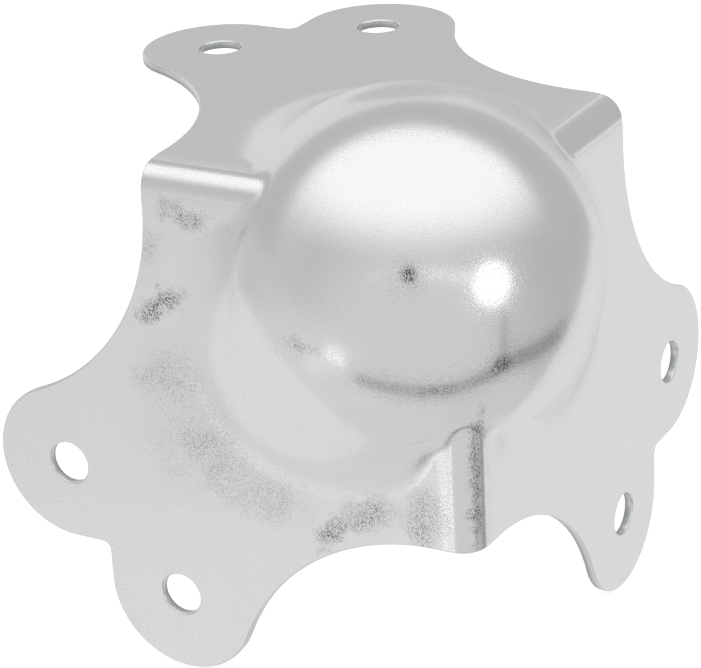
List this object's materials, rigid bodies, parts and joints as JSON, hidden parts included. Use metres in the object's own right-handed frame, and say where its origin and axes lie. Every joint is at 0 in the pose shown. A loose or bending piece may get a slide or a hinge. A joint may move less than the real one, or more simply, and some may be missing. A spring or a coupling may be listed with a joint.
{
  "type": "flight case ball corner",
  "caption": "One-piece pressed steel ball corner with three riveted flanges that caps and guards a flight case corner.",
  "frame": {"origin": "inner corner, where the three faces of the case would meet", "axes": "+Z out of the case's top face, +X out of its right side, -Y out of its front, so the case fills -X, +Y, -Z"},
  "size_m": [0.0686, 0.0686, 0.0686],
  "materials": {
    "zinc_plated_steel": "bright zinc plated, satin"
  },
  "bodies": {
    "root": {"corner_shell": "zinc_plated_steel"}
  },
  "joints": []
}
